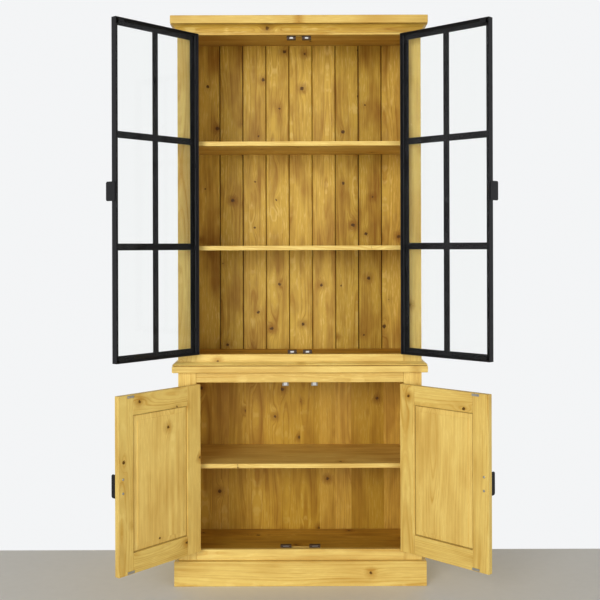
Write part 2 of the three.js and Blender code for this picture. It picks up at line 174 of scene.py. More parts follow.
@dataclass(frozen=True)
class WaxedPine(Finish):
    """Waxed pine: growth rings cut lengthways, broad streaks, blotches and small brown knots.

    It reads two attributes of the mesh: "grain", millimetres along, across and through the stave measured
    from its pith, and "tone", how dark the stave is, and above 1 how much wax, dust and painted shade darken
    it.
    """

    early: str  # pale spring wood between the rings
    late: str  # orange summer wood, the dark lines
    amber: str = "#ab7820"  # where the wax has soaked in
    pale: str = "#f2dd94"  # curly grain that catches the light
    soak: float = 0.38  # how strongly the blotches show
    curl: float = 0.3  # how much curly grain there is
    clear: float = 0.75  # the share of cells that have no knot
    knot_radius: float = 6.0  # mm, the largest
    knot_cell: tuple[float, float] = (200.0, 72.0)  # mm along and across for each knot
    knot: str = "#3f2c08"
    heart: str = "#7a5518"  # the lighter rings inside a knot
    shade_and_grime: str = "#4a2f0c"  # wax and dust in the grooves, and the painted shade there
    ring_pitch: float = 3.6  # mm
    drift: float = 40.0  # mm, the width of the band that the pith wanders in
    relief: float = 0.12  # mm, the height of the bumps that the rings and fibres make

    def dress(self, s: Sheet) -> bpy.types.Node:
        """Adds the nodes of the wood.

        Args:
            s: The material's sheet.

        Returns:
            The shader.
        """
        grain = s.add("Attribute", attribute_name="grain").outputs["Vector"]
        tone = s.add("Attribute", attribute_name="tone").outputs["Fac"]

        # Knots: the nearest point of a stretched cell pattern, as a distance in mm.
        cells = s.vector("MULTIPLY", grain, (1 / self.knot_cell[0], 1 / self.knot_cell[1], 0))
        points = s.add("TexVoronoi", {"Vector": cells, "Scale": 1, "Randomness": 0.95},
                       voronoi_dimensions="2D")
        away = s.vector("SUBTRACT", cells, points.outputs["Position"])
        away = s.vector("MULTIPLY", away, (*self.knot_cell, 0))
        wobble = s.math("SUBTRACT", s.noise(grain, 2.0, 0.12), 0.5)
        near = s.math("ADD", s.length(away), s.math("MULTIPLY", wobble, 11.0))
        chance = s.add("SeparateColor", {0: points.outputs["Color"]})
        size = s.remap(chance, self.clear, 1.0, -2.0, self.knot_radius)
        beyond = s.math("SUBTRACT", near, size)
        core = s.remap(beyond, -1.2, 1.6, 1.0, 0.0)
        core = s.math("MULTIPLY", core, s.math("GREATER_THAN", size, 1.5))

        # The grain swirls round a knot by a bell curve of the distance from it.
        stretched = s.length(s.vector("MULTIPLY", away, (0.026, 0.075, 0)))
        swirl = s.math("EXPONENT", s.math("MULTIPLY", s.math("MULTIPLY", stretched, stretched), -1.0))
        swirl = s.math("MULTIPLY", swirl, s.math("MAXIMUM", size, 0.0))

        # Rings: distance from a pith line that wanders slowly along the stave.
        drift = s.noise(s.vector("MULTIPLY", grain, (0.0013, 0.0, 0.0)), 2.0, roughness=0.45)
        drift = s.vector("SUBTRACT", drift.outputs["Color"], (0.5, 0.5, 0.5))
        drift = s.vector("MULTIPLY", drift, (0, self.drift, self.drift))
        centred = s.vector("ADD", s.vector("MULTIPLY", grain, (0, 1, 1)), drift)
        radius = s.math("ADD", s.length(centred), s.math("MULTIPLY", swirl, 1.5))
        years = s.add("TexNoise", {"W": s.math("MULTIPLY", radius, 0.07), "Scale": 1, "Detail": 1.0},
                      noise_dimensions="1D")
        rings = s.math("ADD", s.math("DIVIDE", radius, self.ring_pitch), s.math("MULTIPLY", years, 3.0))
        ring = s.add("ValToRGB", {0: s.math("FRACT", rings)},
                     stops=((0.0, "#202020"), (1.0, "#000000"), (0.45, "#5a5a5a"), (0.82, "#ffffff")))

        # Streaks follow the rings, so they bend round a knot as the rings do.
        flow = s.add("CombineXYZ", {0: s.add("SeparateXYZ", {0: grain}), 1: radius})
        flow = s.vector("MULTIPLY", flow, (0.0022, 0.14, 0))
        streak = s.noise(flow, 5.0, kind="2D", roughness=0.68)
        wave = s.noise(s.vector("MULTIPLY", flow, (9.0, 2.6, 0)), 2.0, kind="2D")
        patch = s.noise(s.vector("MULTIPLY", grain, (0.0042, 0.016, 0.012)), 3.0)
        fibre = s.noise(s.vector("MULTIPLY", grain, (0.03, 1.1, 1.1)), 3.0)

        # Colour: rings, curly grain, wax, the stain round a knot, the knot, the stave's tone, and the wax,
        # dust and painted shade of the grooves.
        lines = s.math("MULTIPLY", ring, s.remap(streak, 0.3, 0.7, 0.2, 0.75))
        colour = s.blend(lines, self.early, self.late)
        curly = s.remap(wave, 0.54, 0.66, 0.0, self.curl)
        curly = s.math("MULTIPLY", curly, s.remap(patch, 0.42, 0.58, 1.0, 0.0))
        colour = s.blend(curly, colour, self.pale)
        soaked = s.remap(s.math("MULTIPLY_ADD", streak, 0.45, patch), 0.66, 0.95, 0.0, self.soak)
        colour = s.blend(soaked, colour, self.amber)
        halo = s.math("MULTIPLY", s.remap(beyond, 0.0, 26.0, 0.75, 0.0), s.math("GREATER_THAN", size, 1.2))
        colour = s.blend(s.math("MULTIPLY", halo, chance.outputs[1]), colour, self.amber)
        colour = s.blend(core, colour, s.blend(s.math("PINGPONG", near, 1.1), self.knot, self.heart))
        stave = s.math("MINIMUM", tone, 1.0)
        value = s.math("MULTIPLY_ADD", stave, -0.11, s.math("MULTIPLY_ADD", fibre, 0.16, 0.92))
        warm = s.math("MULTIPLY_ADD", stave, 0.03, 1.03)
        colour = s.add("HueSaturation", {"Saturation": warm, "Value": value, "Color": colour})
        # Painted shade with wax and dust: the tone above 1 mixes in a dark brown in the grooves.
        colour = s.blend(s.remap(tone, 1.0, 3.5, 0.0, 0.92), colour, self.shade_and_grime)

        height = s.math("MULTIPLY_ADD", ring, 0.5, fibre)
        bump = s.add("Bump", {"Strength": 0.35, "Distance": self.relief * MM, "Height": height})
        return s.add("BsdfPrincipled", {
            "Base Color": colour, "Roughness": s.remap(fibre, 0.3, 0.7, 0.42, 0.56),
            "Specular IOR Level": 0.35, "Normal": bump,
        })


@dataclass(frozen=True)
class Speckled(Finish):
    """An even finish that a close look finds mottled: powder coat, plating, plastic, sealant or paint."""

    light: str
    dark: str
    metal: float = 0.0
    rough: tuple[float, float] = (0.45, 0.6)
    speck: float = 1.2  # mm
    relief: float = 0.01  # mm
    level: float = 0.5  # specular level

    def dress(self, s: Sheet) -> bpy.types.Node:
        """Adds the nodes of the finish.

        Args:
            s: The material's sheet.

        Returns:
            The shader.
        """
        place = s.add("TexCoord").outputs["Object"]
        fine = s.noise(place, 2.0, 1 / (self.speck * MM))
        broad = s.noise(place, 3.0, 0.05 / (self.speck * MM))
        share = s.math("MULTIPLY_ADD", fine, 0.5, s.math("MULTIPLY", broad, 0.5))
        bump = s.add("Bump", {"Strength": 0.5, "Distance": self.relief * MM, "Height": fine})
        settings = {
            "Base Color": s.blend(share, self.dark, self.light), "Metallic": self.metal,
            "Roughness": s.remap(broad, 0.3, 0.7, *self.rough), "Normal": bump,
        }
        if not self.metal:
            settings["Specular IOR Level"] = self.level
        return s.add("BsdfPrincipled", settings)


@dataclass(frozen=True)
class FloatGlass(Finish):
    """Clear float glass with the faint green of its iron and a very slow waviness in its reflection."""

    tint: str = "#fdfefd"
    index: float = 1.15

    def dress(self, s: Sheet) -> bpy.types.Node:
        """Adds the nodes of the glass.

        Args:
            s: The material's sheet.

        Returns:
            The shader.
        """
        wave = s.noise(s.add("TexCoord").outputs["Object"], 1.0, 6.0)
        bump = s.add("Bump", {"Strength": 0.1, "Distance": 0.1 * MM, "Height": wave})
        return s.add("BsdfPrincipled", {
            "Base Color": linear(self.tint), "Roughness": s.remap(wave, 0.3, 0.7, 0.0, 0.03),
            "IOR": self.index, "Transmission Weight": 1.0, "Normal": bump,
        })


PINE = WaxedPine("waxed_pine", "#e3c97c", "#c79a45", clear=0.68)
KNOTTY_PINE = WaxedPine("knotty_waxed_pine", "#d5b657", "#ad7e28", "#905e14", "#ead284",
                        soak=0.75, curl=0.5, clear=0.26, knot_radius=7.5)
# A darker, more saturated copy of the pine: painted shade on the floors and on the base's back.
SHADED_INTERIOR_PINE = WaxedPine("painted_shade_interior_pine", "#cba648", "#a27222", "#8c5a0e", "#dcbf6c",
                      soak=0.55, curl=0.4, clear=0.42, knot_radius=7.5)
# A darker copy of the pine: painted shade, for the rail tops under the mouldings and for the cornice board.
SHADED_PINE = WaxedPine("painted_shade_waxed_pine", "#d8bc70", "#bd9242", knot_radius=5.0)
# A darker copy of the pine: painted shade on the cove under the cornice.
COVE_SHADE_PINE = WaxedPine("painted_shade_cove_pine", "#c4a24c", "#a47828", "#8a5f1a", soak=0.4, knot_radius=7.5)
POWDER_COAT = Speckled("black_powder_coat", "#232327", "#19191b", rough=(0.45, 0.55),
                       speck=0.7, relief=0.03, level=0.3)
BLACKENED = Speckled("blackened_hinge_steel", "#2e2e31", "#1c1c1e", metal=0.6, rough=(0.38, 0.48), speck=0.9)
ZINC = Speckled("bright_zinc_plate", "#c6c6c4", "#aeafae", metal=1.0, rough=(0.38, 0.5),
                speck=0.8, relief=0.005)
BROWN_PLASTIC = Speckled("brown_catch_plastic", "#54402e", "#443222")
GREY_PLASTIC = Speckled("grey_catch_plastic", "#9b978c", "#88837a")
SEALANT = Speckled("black_glazing_sealant", "#1d1d1f", "#121213", rough=(0.55, 0.7), speck=2.0, relief=0.02)
GLASS = FloatGlass("float_glass")
FLOOR = Speckled("pale_matt_floor", "#e7e5e1", "#dddbd6", rough=(0.7, 0.8),
                 speck=40.0, relief=0.05, level=0.2)


# ---------------------------------------------------------------------------------------------- surfaces

Axes = Sequence[np.ndarray]
Corner = tuple[float, float, float]  # a point of an outline, and the radius that rounds it


@dataclass
class Skin:
    """A closed surface in mm: points, and faces as runs of corners with a normal at each corner."""

    points: np.ndarray
    corners: np.ndarray
    sizes: np.ndarray
    normals: np.ndarray

    @staticmethod
    def of(points: np.ndarray, quads: np.ndarray, normals: np.ndarray,
           caps: Iterable[tuple] = ()) -> "Skin":
        """Puts quads and flat caps together, each face turned so that it is seen from outside.

        Args:
            points: The points, (n, 3).
            quads: Four points for each quad, (f, 4).
            normals: The normal at each quad's corners, (f, 4, 3).
            caps: Pairs of the point numbers round a cap and the way it roughly faces.

        Returns:
            The surface.
        """
        p = points[quads]
        facing = np.cross(p[:, 2] - p[:, 0], p[:, 3] - p[:, 1])
        inward = np.einsum("fk,fk->f", facing, normals.sum(axis=1)) < 0
        quads = np.where(inward[:, None], quads[:, ::-1], quads)
        normals = np.where(inward[:, None, None], normals[:, ::-1], normals)
        corners, sizes, ways = [quads.ravel()], [np.full(len(quads), 4)], [normals.reshape(-1, 3)]
        for ring, way in caps:
            q = points[ring]
            facing = np.cross(q, np.roll(q, -1, axis=0)).sum(axis=0)
            if facing @ way < 0:
                ring, facing = ring[::-1], -facing
            corners.append(ring)
            sizes.append(np.array([len(ring)]))
            ways.append(np.tile(facing / np.linalg.norm(facing), (len(ring), 1)))
        return Skin(points, np.concatenate(corners), np.concatenate(sizes), np.concatenate(ways))

    def moved(self, turn: np.ndarray, shift: np.ndarray) -> "Skin":
        """The surface turned or mirrored by a matrix, then shifted."""
        step = -1 if np.linalg.det(turn) < 0 else 1
        return Skin(self.points @ turn.T + shift, self.corners[::step], self.sizes[::step],
                    (self.normals @ turn.T)[::step])

    def centres(self) -> np.ndarray:
        """The middle of the face that each corner belongs to."""
        first = np.cumsum(self.sizes) - self.sizes
        middles = np.add.reduceat(self.points[self.corners], first, axis=0) / self.sizes[:, None]
        return np.repeat(middles, self.sizes, axis=0)


@dataclass
class Profile:
    """A section drawn with its solid on the left of the line, as points and their outward normals."""

    points: np.ndarray
    normals: np.ndarray
    closed: bool

    @staticmethod
    def rounded(corners: Sequence[Corner], closed: bool = True, steps: int = 3) -> "Profile":
        """A line through corners, each replaced by an arc that touches both of its sides.

        Args:
            corners: Each corner's two coordinates and its radius.
            closed: Whether the line returns to its first corner.
            steps: Pieces in each arc.

        Returns:
            The line.
        """
        spots = np.array([c[:2] for c in corners], float)
        ways = np.roll(spots, -1, axis=0) - spots
        ways /= np.linalg.norm(ways, axis=1)[:, None]
        points, normals = [], []
        for k, (_, _, radius) in enumerate(corners):
            if not closed and k in (0, len(corners) - 1):
                way = ways[0] if k == 0 else ways[k - 1]
                points.append(spots[k][None])
                normals.append(np.array([[way[1], -way[0]]]))
                continue
            before, after = ways[k - 1], ways[k]
            turn = math.atan2(before[0] * after[1] - before[1] * after[0], before @ after)
            spread = np.linspace(0, turn, steps + 1)
            start = np.array([before[1], -before[0]])
            fan = np.stack([start[0] * np.cos(spread) - start[1] * np.sin(spread),
                            start[0] * np.sin(spread) + start[1] * np.cos(spread)], axis=1)
            side = math.copysign(1, turn)
            centre = spots[k] - before * radius * math.tan(abs(turn) / 2) - side * radius * start
            points.append(centre + side * radius * fan)
            normals.append(fan)
        return Profile(np.concatenate(points), np.concatenate(normals), closed)


@dataclass
class Path:
    """A line that a profile is carried along, in a plane.

    A profile point at distance u stands at node + slant * u. The starts and ends are the unit directions of u
    at the start and at the end of each segment.
    """

    nodes: np.ndarray
    slants: np.ndarray
    starts: np.ndarray
    ends: np.ndarray

    @property
    def closed(self) -> bool:
        """Whether the path returns to its first node."""
        return len(self.starts) == len(self.nodes)

    @staticmethod
    def straight(first: Sequence[float], last: Sequence[float], slants: Sequence[Sequence[float]],
                 facing: Sequence[float]) -> "Path":
        """One segment, whose ends may be cut on a slant for a mitre."""
        way = np.array([facing], float)
        return Path(np.array([first, last], float), np.array(slants, float), way, way)

    @staticmethod
    def square(first: float, last: float) -> "Path":
        """One segment along the first axis, cut square."""
        return Path.straight((first, 0), (last, 0), [(0, 1), (0, 1)], (0, 1))

    @staticmethod
    def rectangle(low: Sequence[float], high: Sequence[float]) -> "Path":
        """A mitred rectangle; u runs inwards."""
        nodes = np.array([low, (high[0], low[1]), high, (low[0], high[1])], float)
        slants = np.array([(1, 1), (-1, 1), (-1, -1), (1, -1)], float)
        facing = np.array([(0, 1), (-1, 0), (0, -1), (1, 0)], float)
        return Path(nodes, slants, facing, facing)

    @staticmethod
    def outline(line: Profile) -> "Path":
        """Round a closed line; u runs inwards."""
        return Path(line.points, -line.normals, -line.normals, -np.roll(line.normals, -1, axis=0))

    @staticmethod
    def circle(sides: int = 24) -> "Path":
        """Round a centre; u is the distance from it."""
        turns = np.arange(sides) * math.tau / sides
        ways = np.stack([np.cos(turns), np.sin(turns)], axis=1)
        return Path(np.zeros((sides, 2)), ways, ways, np.roll(ways, -1, axis=0))


def carried(profile: Profile, path: Path, axes: Axes, origin: Sequence[float] = (0, 0, 0)) -> Skin:
    """A profile carried along a path, closed with flat caps.

    The point at node i and profile point (u, v) is node_i + slant_i * u in the path's plane, and v off it.

    Args:
        profile: The section.
        path: The line it follows.
        axes: The path plane's two directions, and the direction of v.
        origin: Where the path's zero is, in mm.

    Returns:
        The surface.
    """
    axes, across = np.array(axes, float), len(profile.points)
    flat = path.nodes[:, None] + path.slants[:, None] * profile.points[None, :, :1]
    heights = np.broadcast_to(profile.points[None, :, 1:], (*flat.shape[:2], 1))
    points = np.concatenate([flat, heights], axis=2).reshape(-1, 3) @ axes + np.array(origin, float)
    i, j = np.meshgrid(np.arange(len(path.starts)), np.arange(across - (not profile.closed)), indexing="ij")
    i, j = i.ravel(), j.ravel()
    i2, j2 = (i + 1) % len(path.nodes), (j + 1) % across
    quads = np.stack([i * across + j, i2 * across + j, i2 * across + j2, i * across + j2], axis=1)
    at = [(path.starts[i], j), (path.ends[i], j), (path.ends[i], j2), (path.starts[i], j2)]
    normals = [np.concatenate([way * profile.normals[k, :1], profile.normals[k, 1:]], axis=1)
               for way, k in at]
    normals = np.stack(normals, axis=1) @ axes
    caps = []
    if not profile.closed:
        rows = np.arange(len(path.nodes)) * across
        middle = profile.points[:, 1].mean()
        caps = [(rows + k, axes[2] * math.copysign(1, profile.points[k, 1] - middle))
                for k in (0, across - 1)]
    if not path.closed:
        ends = [np.arange(across), np.arange(across) + (len(path.nodes) - 1) * across]
        tangent = (path.nodes[-1] - path.nodes[0]) @ axes[:2]
        caps += [(ends[0], -tangent), (ends[1], tangent)]
    return Skin.of(points, quads, normals, caps)


def rounded_box(low: Sequence[float], high: Sequence[float], radius: float,
                cuts: dict[int, Sequence[float]] | None = None) -> Skin:
    """A box with quarter-round edges.

    A grid over the box's six sides is drawn in to the box shrunk by the radius, and each point is then pushed
    out by the radius along the line it was drawn in by, which is also its normal.

    Args:
        low: The lowest corner in mm.
        high: The highest corner in mm.
        radius: The edges' radius in mm.
        cuts: Further grid lines, as positions for an axis number.

    Returns:
        The surface.
    """
    low, high = np.array(low, float), np.array(high, float)
    radius = min(radius, 0.49 * (high - low).min())
    rise = radius * (1 - np.tan(np.radians([45, 22.5, 0])))
    lines = []
    for axis in range(3):
        start, stop = low[axis] + 2 * radius, high[axis] - 2 * radius
        inner = [c for c in (cuts or {}).get(axis, ()) if start < c < stop]
        lines.append(np.concatenate([low[axis] + rise, inner, (high[axis] - rise)[::-1]]))
    points, quads, count = [], [], 0
    for axis in range(3):
        u, v = [k for k in range(3) if k != axis]
        grid_u, grid_v = np.meshgrid(lines[u], lines[v], indexing="ij")
        rows, cols = grid_u.shape
        first = (np.arange(rows - 1)[:, None] * cols + np.arange(cols - 1)).ravel()
        for level in (low[axis], high[axis]):
            side = np.empty((rows * cols, 3))
            side[:, axis], side[:, u], side[:, v] = level, grid_u.ravel(), grid_v.ravel()
            points.append(side)
            quads.append(count + np.stack([first, first + cols, first + cols + 1, first + 1], axis=1))
            count += rows * cols
    welded, index = np.unique(np.concatenate(points).round(5), axis=0, return_inverse=True)
    quads = index.ravel()[np.concatenate(quads)]
    core = np.clip(welded, low + radius, high - radius)
    ways = welded - core
    ways /= np.linalg.norm(ways, axis=1)[:, None]
    return Skin.of(core + radius * ways, quads, ways[quads])


def turned(outline: Sequence[Corner], centre: Sequence[float], axes: Axes = (X, Y, Z),
           sides: int = 24) -> Skin:
    """A solid of revolution: (distance, height, corner radius) points spun about the third of three axes."""
    return carried(Profile.rounded(outline, closed=False), Path.circle(sides), axes, centre)


def disc(radius: float, height: float, edge: float) -> list[Corner]:
    """The half section of a flat head: out at the foot, up, and in over a rounded rim."""
    return [(radius - 0.2, 0, 0), (radius, 0, 0.1), (radius, height, edge), (0.15 * radius, height, 0)]


def plate(low: Sequence[float], high: Sequence[float], radii: Sequence[float], span: Sequence[float],
          axes: Axes, edge: float = 0.5) -> Skin:
    """A flat plate with rounded corners and eased edges.

    Args:
        low: Its lowest corner in the plane of the first two axes.
        high: Its highest corner there.
        radii: The corner radii, counter-clockwise from the lowest corner.
        span: Where its two faces are, along the third axis.
        axes: The three axes.
        edge: The radius of its edges in mm.

    Returns:
        The surface.
    """
    spots = [low, (high[0], low[1]), high, (low[0], high[1])]
    line = Profile.rounded([(*spot, radius) for spot, radius in zip(spots, radii)], steps=5)
    inset = edge + 0.02
    rim = [(inset, span[1], 0), (0, span[1], edge), (0, span[0], edge), (inset, span[0], 0)]
    return carried(Profile.rounded(rim, closed=False), Path.outline(line), axes)


@dataclass(frozen=True)
class Timber:
    """How a board is cut from logs: the way its grain runs, and the joints between its glued staves."""

    along: int
    across: int
    seed: int
    joints: tuple[float, ...] = ()
    contrast: float = 1.0
    shade_and_grime: float = 0.0  # extra tone where wax and dust gather, and where shade is painted, in the grooves
    unmarked_depth: float = 0.6  # mm below the faces that get no painted shade, wax or dust

    def figure(self, skin: Skin) -> tuple[np.ndarray, np.ndarray]:
        """Lays the grain: every stave has a pith line and a tone of its own.

        Args:
            skin: The board's surface.

        Returns:
            The grain coordinates and the tone at each corner, with the wax, dust and painted shade of the
            grooves added.
        """
        chance = np.random.default_rng(self.seed)
        staves = len(self.joints) + 1
        pith = np.stack([chance.uniform(0, 6000, staves), chance.uniform(-75, 75, staves),
                         chance.uniform(22, 95, staves) * chance.choice([-1, 1], staves)], axis=1)
        tones = chance.uniform(-1, 1, staves) * self.contrast
        low, high = skin.points.min(axis=0), skin.points.max(axis=0)
        edges = np.array([low[self.across], *self.joints, high[self.across]])
        stave = np.searchsorted(self.joints, skin.centres()[:, self.across])
        through = 3 - self.along - self.across
        place = skin.points[skin.corners][:, [self.along, self.across, through]]
        depth = np.minimum(place[:, 2] - low[through], high[through] - place[:, 2])
        # Painted shade, with wax and dust, grows with the depth below the board's faces.
        sunk = np.clip((depth - self.unmarked_depth) / 0.9, 0, 1)
        place[:, 1] -= ((edges[1:] + edges[:-1]) / 2)[stave]
        place[:, 2] -= (low[through] + high[through]) / 2
        return place + pith[stave], tones[stave] + self.shade_and_grime * sunk


@dataclass(frozen=True)
class Seat:
    """Where a sub-assembly hangs: its CAD body, its side, and its turn about a vertical axis."""

    body: str
    side: int = 1
    pivot: tuple[float, float] = (0.0, 0.0)
    angle: float = 0.0

    @staticmethod
    def of_door(joint_name: str, side: int) -> "Seat":
        """The seat of a door, from its joint: the joint's lower limit is the door shut."""
        joint = next(j for j in frame["joints"] if j["name"] == joint_name)
        angle = -joint["range_deg"][0] * joint["axis"][2]
        return Seat(joint["child"], side, (joint["pos_m"][0] / MM, joint["pos_m"][1] / MM), angle)

    @property
    def turn(self) -> np.ndarray:
        """The matrix from the sub-assembly's own mm to the frame's."""
        c, s = math.cos(math.radians(self.angle)), math.sin(math.radians(self.angle))
        return np.array([[c, -s, 0], [s, c, 0], [0, 0, 1]]) @ np.diag([self.side, 1, 1])

    @property
    def shift(self) -> np.ndarray:
        """What is added after the turn."""
        pivot = np.array([*self.pivot, 0.0])
        return pivot - self.turn @ np.array([self.side * pivot[0], pivot[1], 0.0])

    def span(self, node: str) -> tuple[np.ndarray, np.ndarray]:
        """Lowest and highest corner of a CAD node in the sub-assembly's own mm."""
        mesh = frame["nodes"][node].data
        points = np.empty(len(mesh.vertices) * 3, np.float32)
        mesh.vertices.foreach_get("co", points)
        own = (points.reshape(-1, 3).astype(float) / MM - self.shift) @ self.turn
        return own.min(axis=0), own.max(axis=0)


@dataclass
class Piece:
    """One finished object, gathered from closed surfaces."""

    name: str
    seat: Seat
    slot: Slot | None = None
    parts: list[tuple[Skin, Finish, Timber | None]] = field(default_factory=list)

    def add(self, skin: Skin, finish: Finish, timber: Timber | None = None) -> "Piece":
        """Adds a surface in the seat's own mm."""
        self.parts.append((skin, finish, timber))
        return self

    def build(self, *nodes: str) -> bpy.types.Object:
        """Makes the object, in place and riding on its body.

        Args:
            *nodes: The CAD nodes that it stands for.

        Returns:
            The object.
        """
        finishes = list(dict.fromkeys(finish for _, finish, _ in self.parts))
        figures = []
        for skin, _, timber in self.parts:
            count = len(skin.corners)
            figures.append(timber.figure(skin) if timber else (np.zeros((count, 3)), np.zeros(count)))
        step = int(np.sign(np.linalg.det(self.seat.turn)))
        skins = [skin.moved(self.seat.turn, self.seat.shift) for skin, _, _ in self.parts]
        firsts = np.cumsum([0] + [len(s.points) for s in skins])
        corners = np.concatenate([s.corners + first for s, first in zip(skins, firsts)])
        sizes = np.concatenate([s.sizes for s in skins])
        mesh = bpy.data.meshes.new(self.name)
        mesh.vertices.add(firsts[-1])
        points = np.concatenate([s.points for s in skins]) * MM
        mesh.vertices.foreach_set("co", points.ravel().astype(np.float32))
        mesh.loops.add(len(corners))
        mesh.loops.foreach_set("vertex_index", corners.astype(np.int32))
        mesh.polygons.add(len(sizes))
        mesh.polygons.foreach_set("loop_start", (np.cumsum(sizes) - sizes).astype(np.int32))
        which = [np.full(len(s.sizes), finishes.index(part[1])) for s, part in zip(skins, self.parts)]
        mesh.polygons.foreach_set("material_index", np.concatenate(which).astype(np.int32))
        for finish in finishes:
            mesh.materials.append(finish.material())
        mesh.update(calc_edges=True)
        layers = (("grain", "FLOAT_VECTOR", "vector"), ("tone", "FLOAT", "value"))
        for (name, kind, key), rows in zip(layers, zip(*figures)):
            values = np.concatenate([row[::step] for row in rows]).ravel().astype(np.float32)
            mesh.attributes.new(name, kind, "CORNER").data.foreach_set(key, values)
        mesh.normals_split_custom_set(np.concatenate([s.normals for s in skins]).tolist())
        made = bpy.data.objects.new(self.name, mesh)
        bpy.context.scene.collection.objects.link(made)
        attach(made, self.seat.body)
        if nodes:
            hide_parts(*nodes)
        LOG.info("%s: %d faces", self.name, len(sizes))
        return made


def seed_of(name: str) -> int:
    """A fixed seed for a piece, from its name."""
    return zlib.crc32(name.encode())


THIN_STAVE = 8.0  # mm, narrower than any that is glued in
CABINET = Seat("cabinet")


def build_board(node: str, seat: Seat, along: int, across: int, radius: float = 1.5,
                joints: Sequence[float] = (), contrast: float = 0.4,
                finish: Finish = PINE) -> bpy.types.Object:
    """A sawn and eased board in the place of a CAD node.

    Args:
        node: The CAD node.
        seat: Its sub-assembly's seat.
        along: The axis its grain follows.
        across: The axis across its face.
        radius: The radius of its edges in mm.
        joints: Where its staves are glued, on the axis across.
        contrast: How much its staves differ.
        finish: Its finish.

    Returns:
        The board.
    """
    low, high = seat.span(node)
    kept = tuple(j for j in joints if low[across] + THIN_STAVE < j < high[across] - THIN_STAVE)
    timber = Timber(along, across, seed_of(node), kept, contrast)
    skin = rounded_box(low, high, radius, {across: kept})
    return Piece(f"pine_{node}", seat, Slot.PINE).add(skin, finish, timber).build(node)


# ---------------------------------------------------------------------------------------------- carcass


@dataclass(frozen=True)
class Carcass:
    """Sides, face frames, floors, shelves and the base unit's back."""

    stave: float = 98.0  # mm, the width of a shelf's staves
    first: float = 25.0  # mm, where the first of them begins
    side_joints: tuple[float, ...] = (112.0, 205.0, 301.0)
    back_joints: tuple[float, ...] = (-381, -307, -233, -158, -83, 0, 84, 152, 221, 297, 361)

    def build(self) -> None:
        """Makes every board."""
        for unit in ("base", "upper"):
            for word in ("left", "right"):
                build_board(f"{unit}_side_{word}", CABINET, 2, 1, joints=self.side_joints)
                build_board(f"{unit}_stile_{word}", CABINET, 2, 0)
            build_board(f"{unit}_rail_bottom", CABINET, 0, 2)
            # The rail tops take the darker copy of the pine: painted shade under the mouldings above them.
            build_board(f"{unit}_rail_top", CABINET, 0, 2, finish=SHADED_PINE)
            # The floors take the darker copy of the pine: painted shade.
            build_board(f"{unit}_bottom_panel", CABINET, 0, 1, joints=self.side_joints, finish=SHADED_INTERIOR_PINE)
        for name in ("base_shelf", "upper_shelf_lower", "upper_shelf_upper"):
            build_board(name, CABINET, 0, 1, joints=[self.first + self.stave * k for k in range(1, 4)])
        # The base's back takes the darker copy of the pine too: painted shade inside the base.
        build_board("base_back_panel", CABINET, 2, 0, 0.8, self.back_joints, 0.9, SHADED_INTERIOR_PINE)


@dataclass(frozen=True)
class BackBoards:
    """The upper unit's back: tongued and grooved boards with a V along every joint."""

    pitch: float = 99.5
    first_joint: float = -440.9
    chamfer: float = 2.6
    slit: float = 1.6
    tongue: float = 5.0
    tongue_depths: tuple[float, float] = (4.5, 8.0)  # its two faces, from the front
    slack: float = 0.6  # mm between a tongue and the bottom of its groove

    def section(self, left: float, right: float, front: float, back: float) -> Profile:
        """Draws a board: a groove in its left edge, a tongue on its right one, chamfers towards the room.

        Args:
            left: Where its left edge is.
            right: Where its right edge is, without the tongue.
            front: Where its face is.
            back: Where its back is.

        Returns:
            The section.
        """
        a, b = (front + depth for depth in self.tongue_depths)
        c, t, tip = self.chamfer, self.tongue, self.tongue - self.slack
        return Profile.rounded([
            (left + c, front, 0.5), (right - c - self.slit, front, 0.5), (right - self.slit, front + c, 0.3),
            (right - self.slit, a, 0.1), (right + tip, a, 0.4), (right + tip, b, 0.4),
            (right - self.slit, b, 0.1), (right - self.slit, back, 0.4), (left, back, 0.4),
            (left, b + 0.2, 0.1), (left + t, b + 0.2, 0.1), (left + t, a - 0.2, 0.1),
            (left, a - 0.2, 0.1), (left, front + c, 0.3),
        ], steps=2)

    def build(self) -> None:
        """Makes the boards as one piece."""
        low, high = CABINET.span("upper_back_boards")
        joints = self.first_joint + self.pitch * np.arange(9)
        edges = [low[0], *joints, high[0] - self.tongue + self.slack]
        piece = Piece("pine_upper_back_boards", CABINET, Slot.PINE)
        path = Path.square(low[2], high[2])
        for place, (left, right) in enumerate(zip(edges[:-1], edges[1:])):
            if right - left < 4 * self.chamfer:
                continue
            skin = carried(self.section(left, right, low[1], high[1]), path, (Z, X, Y))
            # The V grooves are darkened with painted shade, and with wax and dust.
            piece.add(skin, KNOTTY_PINE, Timber(2, 0, seed_of(f"back board {place}"), shade_and_grime=2.9))
        piece.build("upper_back_boards")


@dataclass(frozen=True)
class Surround:
    """A section carried round the left side, the front and the right side, mitred at the corners."""

    slack: float = 0.15  # half the open joint at a mitre, mm

    def strips(self, profile: Profile) -> list[tuple[str, Skin, int]]:
        """Carries the section round.

        Args:
            profile: The section; u runs outwards and v up.

        Returns:
            The three strips: name, surface and the axis its grain follows.
        """
        s = self.slack
        front = Path.straight((-HALF + s, 0), (HALF - s, 0), [(-1, -1), (1, -1)], (0, -1))
        left = Path.straight((-HALF, s), (-HALF, DEPTH), [(-1, -1), (-1, 0)], (-1, 0))
        right = Path.straight((HALF, s), (HALF, DEPTH), [(1, -1), (1, 0)], (1, 0))
        rows = (("front", front, 0), ("left", left, 1), ("right", right, 1))
        return [(word, carried(profile, path, (X, Y, Z)), along) for word, path, along in rows]


